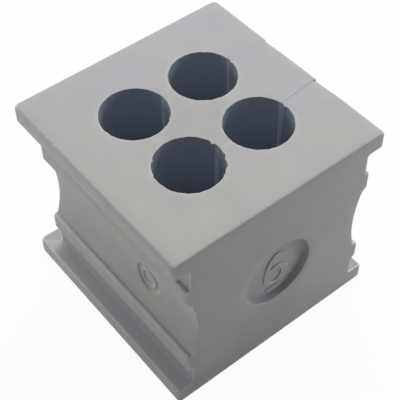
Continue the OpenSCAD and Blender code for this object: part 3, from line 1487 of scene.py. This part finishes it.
    def _relief(self, nodes: NodeTree) -> Socket:
        """The skin's fine relief: slow waves and a grain on top of them.

        Args:
            nodes: The material's nodes.

        Returns:
            The normal.
        """
        bumps = []
        for noise, height in ((self.wave, self.wave_height), (self.grain, self.grain_height)):
            bump = nodes.add("ShaderNodeBump", self.bump_strength, height)
            nodes.feed(nodes.noise(noise), bump.inputs["Height"])
            bumps.append(bump)
        wave, grain = bumps
        nodes.feed(wave.outputs["Normal"], grain.inputs["Normal"])
        return grain.outputs["Normal"]


def view_axes(azimuth: float, elevation: float) -> tuple[Array, Array]:
    """Directions for something that looks at the grommet.

    It stands at (sin a cos e, -cos a cos e, sin e), and its level right is
    (cos a, sin a, 0).

    Args:
        azimuth: a in radians, from the near side towards the flat side.
        elevation: e in radians.

    Returns:
        The way back to it, and its level right.
    """
    back = np.array([np.sin(azimuth) * np.cos(elevation),
                     -np.cos(azimuth) * np.cos(elevation), np.sin(elevation)])
    return back, np.array([np.cos(azimuth), np.sin(azimuth), 0.0])


def hang(name: str, data: bpy.types.ID, axes: Sequence[Array],
         at: Array) -> bpy.types.Object:
    """Adds a lamp or a camera to the scene.

    Args:
        name: Its name.
        data: The lamp's or camera's data.
        axes: Its right, its top and the way back from what it faces.
        at: Its place in metres.

    Returns:
        The object.
    """
    turn = np.eye(4)
    turn[:3, :3] = np.stack(axes, axis=1)
    turn[:3, 3] = at
    thing = bpy.data.objects.new(name, data)
    thing.matrix_world = Matrix(turn.tolist())
    bpy.context.scene.collection.objects.link(thing)
    return thing


@dataclass(frozen=True)
class Lamp:
    """An area lamp that faces the grommet: where it hangs, its size and its power."""

    name: str
    azimuth: float
    elevation: float
    distance: float
    size: float
    power: float
    colour: Rgb = (1.0, 1.0, 1.0)

    def build(self, centre: Array) -> None:
        """Adds the lamp.

        Args:
            centre: What it faces, in metres.
        """
        back, right = view_axes(np.radians(self.azimuth), np.radians(self.elevation))
        data = bpy.data.lights.new(self.name, "AREA")
        data.energy, data.size, data.color = self.power, self.size, self.colour
        axes = (right, np.cross(back, right), back)
        lamp = hang(self.name, data, axes, centre + back * self.distance)
        lamp.visible_camera = False


@dataclass(frozen=True)
class Studio:
    """The floor, the sky that fills the shadows, and the lamps."""

    floor_size: float = 4.0
    floor_drop: float = 0.00002
    floor_colour: float = 0.8
    floor_glow: float = 0.95
    white: Rgb = (1.0, 1.0, 1.0)
    sky: float = 0.116
    sky_colour: Rgb = (0.9, 0.97, 1.12)
    lamps: tuple[Lamp, ...] = (
        Lamp("key_lamp", -160.0, 40.0, 0.9, 0.5, 3.75),
        Lamp("second_lamp", -100.0, 60.0, 0.9, 0.5, 2.1),
        Lamp("back_lamp", -130.0, 55.0, 0.1, 0.05, 0.025),
        Lamp("left_lamp", -60.0, 12.0, 0.1, 0.05, 0.0385),
        Lamp("right_lamp", 150.0, 12.0, 0.06, 0.03, 0.0088, (0.985, 0.97, 1.06)),
    )

    def build(self, centre: Array) -> None:
        """Adds the floor, the world and the lamps.

        Args:
            centre: The grommet's centre, in metres.
        """
        bpy.context.scene.view_settings.view_transform = "Standard"
        self._floor()
        self._sky()
        for lamp in self.lamps:
            lamp.build(centre)

    def _floor(self) -> None:
        """A wide level square. Seen by the camera or in a reflection it glows nearly
        white, and the rest of it is plain, so it keeps the shadow."""
        corners = np.array([(-1, -1), (1, -1), (1, 1), (-1, 1)]) * self.floor_size / 2
        points = np.hstack([corners, np.full((4, 1), -self.floor_drop)])
        mesh = bpy.data.meshes.new("floor")
        mesh.from_pydata(points.tolist(), [], [(0, 1, 2, 3)])
        floor = bpy.data.objects.new("floor", mesh)
        bpy.context.scene.collection.objects.link(floor)
        material = bpy.data.materials.new("floor_white")
        nodes = NodeTree(material)
        plain = nodes.add("ShaderNodeBsdfDiffuse", rgba([self.floor_colour] * 3))
        glow = nodes.add("ShaderNodeEmission", rgba(self.white))
        share = nodes.maths("MULTIPLY", nodes.seen(), self.floor_glow)
        nodes.add("ShaderNodeOutputMaterial", nodes.blend(share, plain, glow))
        mesh.materials.append(material)

    def _sky(self) -> None:
        """An even sky, which the camera and reflections see as white."""
        world = bpy.data.worlds.new("studio_sky")
        bpy.context.scene.world = world
        nodes = NodeTree(world)
        light = nodes.add("ShaderNodeBackground", rgba(self.sky_colour), self.sky)
        white = nodes.add("ShaderNodeBackground", rgba(self.white))
        nodes.add("ShaderNodeOutputWorld", nodes.blend(nodes.seen(), light, white))


@dataclass(frozen=True)
class PhotoCamera:
    """The photograph's camera: degrees, millimetres, and the focal length in the
    photograph's pixels."""

    azimuth: float = 51.8264
    elevation: float = 49.8402
    roll: float = -0.7641
    distance: float = 86.671
    aside: float = 0.2154
    up: float = -0.3457
    focal_px: float = 1004.5867
    width_px: float = 400.0
    sensor: float = 36.0

    def build(self, centre: Array) -> None:
        """Adds the camera and makes it the scene's.

        Args:
            centre: The grommet's centre, in metres.
        """
        azimuth, elevation, roll = np.radians([self.azimuth, self.elevation, self.roll])
        back, level = view_axes(azimuth, elevation)
        rise = np.cross(back, level)
        right = level * np.cos(roll) + rise * np.sin(roll)
        top = -level * np.sin(roll) + rise * np.cos(roll)
        offset = back * self.distance + right * self.aside + top * self.up
        data = bpy.data.cameras.new("photo_camera")
        data.sensor_width = self.sensor
        data.lens = self.focal_px / self.width_px * self.sensor
        data.clip_start = MM
        camera = hang("photo_camera", data, (right, top, back), centre + offset * MM)
        bpy.context.scene.camera = camera


def read_sizes() -> GrommetSizes:
    """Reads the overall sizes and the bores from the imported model.

    Returns:
        The moulding's sizes.
    """
    low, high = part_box(NODE)
    bores = [m for m in frame["record"]["mounts"] if m["kind"] == "bore"]
    return GrommetSizes(
        side=(high.y - low.y) / MM,
        height=(high.z - low.z) / MM,
        bore_r=bores[0]["dims"]["r_mm"],
        pitch=2 * abs(bores[0]["pos_m"][0]) / MM,
    )


def closed_slits(sizes: GrommetSizes) -> list[SlitCut]:
    """The two slits as the photograph shows them.

    Args:
        sizes: The moulding's sizes.

    Returns:
        The one by the closed end, and the one by the flat side.
    """
    return [
        SlitCut(bore_x=-sizes.pitch / 2, off=-0.12, edge_off=-0.15, web_off=-0.1, gap=0.004,
                web_gap=0.0006, rim=0.005, web_rim=0.0003, step_back=0.1),
        SlitCut(bore_x=sizes.pitch / 2, off=-0.5, edge_off=-0.85, web_off=-0.18, gap=0.012,
                web_gap=0.003, rim=0.009, web_rim=0.002, step_back=0.15),
    ]


def cut_rims() -> list[BoreRim]:
    """The four bores' upper rims as the photograph shows them.

    Returns:
        One rim for each bore.
    """
    return [
        BoreRim((1, 1), 0.012, 3, ((92.0, 0.15, 2.5), (228.0, 0.06, 2.0), (300.0, 0.04, 2.0))),
        BoreRim((1, -1), 0.026, 7, (
            (102.0, 0.22, 2.5), (62.0, 0.07, 2.0), (44.0, 0.06, 2.5), (28.0, 0.08, 2.0),
            (8.0, 0.06, 2.0), (152.0, 0.05, 3.0), (222.0, 0.08, 2.0))),
        BoreRim((-1, 1), 0.017, 11, (
            (86.0, 0.12, 2.5), (140.0, 0.06, 2.0), (214.0, 0.08, 2.0), (240.0, 0.05, 2.0))),
        BoreRim((-1, -1), 0.012, 19, ((40.0, 0.06, 2.5), (20.0, 0.05, 2.0))),
    ]


def main() -> None:
    """Builds the camera, the studio, the grommet and its finish."""
    logging.basicConfig(level=logging.INFO, format="%(message)s")
    sizes = read_sizes()
    centre = np.array([0.0, 0.0, sizes.mid * MM])
    PhotoCamera().build(centre)
    Studio().build(centre)
    body = GrommetBody(sizes, EdgeSizes(), closed_slits(sizes), cut_rims(), SizeRecess(),
                       MouldMark())
    piece = body.build("grommet_moulding")
    piece.data.materials.append(ElastomerFinish().build())
    weighted = piece.modifiers.new("even_normals", "WEIGHTED_NORMAL")
    weighted.weight = FACE_WEIGHT
    weighted.keep_sharp = True
    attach(piece, "root")
    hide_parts(NODE)
    LOG.info("%s: %d faces", piece.name, len(piece.data.polygons))


if __name__ == "__main__":
    main()
